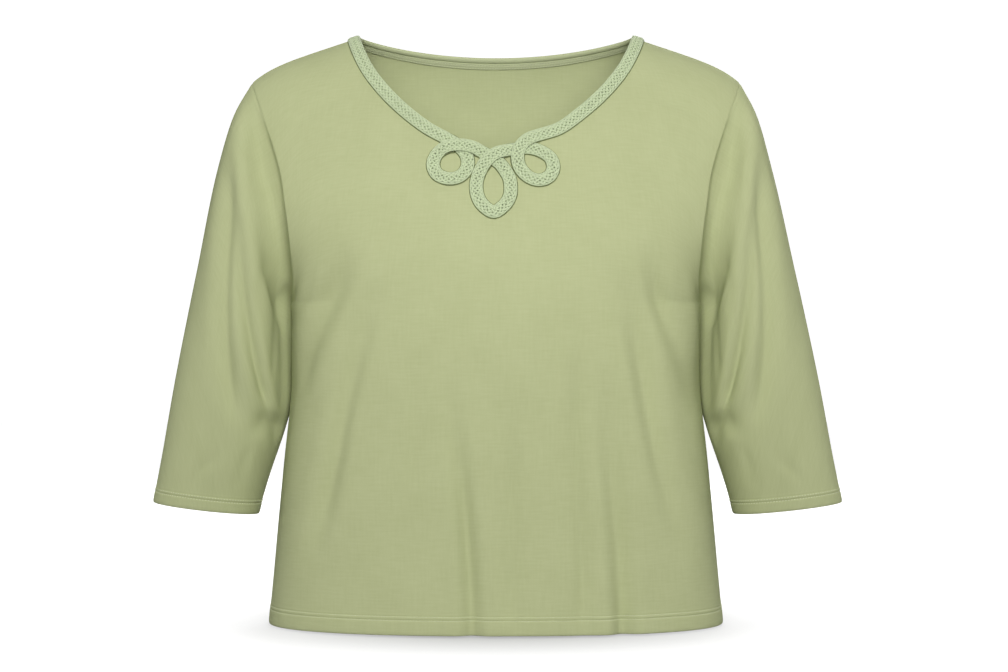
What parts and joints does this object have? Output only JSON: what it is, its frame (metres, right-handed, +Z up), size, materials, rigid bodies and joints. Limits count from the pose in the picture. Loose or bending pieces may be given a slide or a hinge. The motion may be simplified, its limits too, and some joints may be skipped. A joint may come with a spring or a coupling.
{
  "type": "v-neck top",
  "caption": "Hollow worn-form V-neck jersey top with set-in three-quarter sleeves and a plaited braid that loops at the point of the neckline.",
  "frame": {"origin": "midway between the two neck points, where the shoulder seams meet the neckline: the place where the wearer's shoulders carry the top", "axes": "+X towards the sleeve on the viewer's right when the front is faced, -Y out of the front, +Z up"},
  "size_m": [0.7562, 0.2423, 0.6437],
  "materials": {
    "jersey": "matt fine knit",
    "braid": "soft plaited yarn"
  },
  "bodies": {
    "root": {"front": "jersey", "back": "jersey", "left_sleeve": "jersey", "right_sleeve": "jersey", "back_neck_binding": "jersey", "neck_braid": "braid"}
  },
  "joints": []
}
